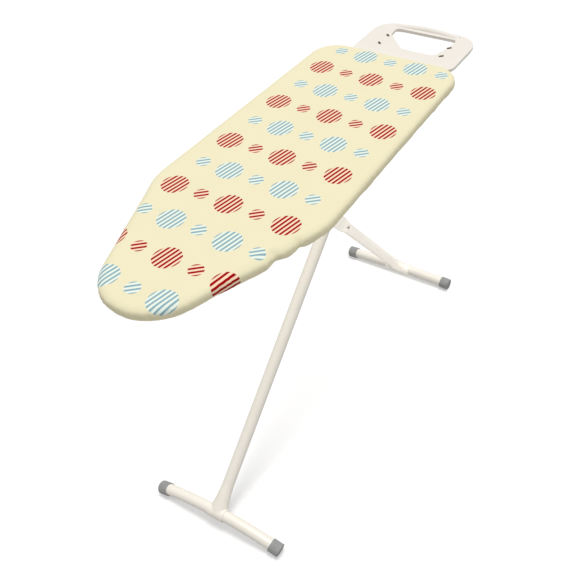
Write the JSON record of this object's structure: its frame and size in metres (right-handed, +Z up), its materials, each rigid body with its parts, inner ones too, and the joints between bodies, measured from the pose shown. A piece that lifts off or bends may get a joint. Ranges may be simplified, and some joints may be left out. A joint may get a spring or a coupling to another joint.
{
  "type": "ironing board",
  "caption": "Free-standing folding ironing board: padded cloth-covered top, plastic iron rest at the tail, and crossed tubular legs with T feet that fold flat.",
  "frame": {"origin": "on the floor under the middle of the whole object", "axes": "+X from the nose towards the iron rest, +Z up, +Y to the left of someone looking along +X"},
  "size_m": [1.2857, 0.4486, 0.852],
  "materials": {
    "cover_cloth": "printed cotton, pale yellow with striped dots",
    "felt": "needle felt",
    "cream_paint": "satin powder coat",
    "rest_plastic": "fine satin moulding",
    "heat_pad": "matt silicone",
    "foot_rubber": "matt moulded",
    "grey_plastic": "moulded nylon",
    "zinc_steel": "zinc plated"
  },
  "bodies": {
    "board": {"cover": "cover_cloth", "felt_pad": "felt", "deck_plate": "cream_paint", "rim_tail": "cream_paint", "rim_left": "cream_paint", "rim_nose": "cream_paint", "rim_right": "cream_paint", "brace_rear": "cream_paint", "brace_hinge": "cream_paint", "brace_rail": "cream_paint", "brace_front": "cream_paint", "hinge_bracket": "cream_paint", "hinge_pin": "zinc_steel", "height_rail": "cream_paint", "lock_rod": "zinc_steel", "lock_rod_bracket_front": "cream_paint", "lock_rod_bracket_rear": "cream_paint", "iron_rest": "rest_plastic", "rest_pad_1": "heat_pad", "rest_pad_2": "heat_pad", "rest_pad_3": "heat_pad", "rest_pad_4": "heat_pad", "rest_screw_1": "zinc_steel", "rest_screw_2": "zinc_steel", "rest_screw_3": "zinc_steel", "rest_screw_4": "zinc_steel", "rest_arm_right": "cream_paint", "rest_arm_left": "cream_paint", "rest_arm_seat_right": "cream_paint", "rest_arm_seat_left": "cream_paint"},
    "long_leg": {"long_leg_tube": "cream_paint", "long_leg_plug": "grey_plastic", "pivot_bolt": "zinc_steel", "pivot_spacer": "grey_plastic", "pivot_nut": "zinc_steel", "long_leg_saddle": "cream_paint", "long_leg_foot_bar": "cream_paint", "long_leg_cap_right": "foot_rubber", "long_leg_cap_left": "foot_rubber"},
    "short_leg": {"short_leg_tube": "cream_paint", "short_leg_rivet": "zinc_steel", "short_leg_saddle": "cream_paint", "short_leg_foot_bar": "cream_paint", "short_leg_cap_right": "foot_rubber", "short_leg_cap_left": "foot_rubber"},
    "slide": {"slide_pin": "zinc_steel", "slide_shoe_inner": "grey_plastic", "slide_shoe_outer": "grey_plastic", "lock_housing": "grey_plastic", "lever_pin": "zinc_steel", "lever_spring": "zinc_steel"},
    "lever": {"release_lever": "cream_paint", "lever_grip": "grey_plastic"}
  },
  "joints": [
    {"name": "leg_fold", "type": "hinge", "parent": "board", "child": "long_leg", "pos_m": [0.308, -0.018, 0.797], "axis": [0, 1, 0], "range_deg": [0, 40.38]},
    {"name": "leg_cross", "type": "hinge", "parent": "long_leg", "child": "short_leg", "pos_m": [0.06637, 0, 0.59146], "axis": [0, 1, 0], "range_deg": [-91.96, 0]},
    {"name": "rail_slide_turn", "type": "hinge", "parent": "short_leg", "child": "slide", "pos_m": [-0.097, 0.018, 0.797], "axis": [0, 1, 0], "range_deg": [0, 51.57]},
    {"name": "release_lever", "type": "hinge", "parent": "slide", "child": "lever", "pos_m": [-0.097, 0.036, 0.812], "axis": [1, 0, 0], "range_deg": [0, 7], "stiffness_Nm_per_rad": 4, "springref_deg": -6.88}
  ],
  "couplings": [
    {"joint": "leg_cross", "follows": "leg_fold", "ratio": -2.2757},
    {"joint": "rail_slide_turn", "follows": "leg_fold", "ratio": 1.2757}
  ]
}
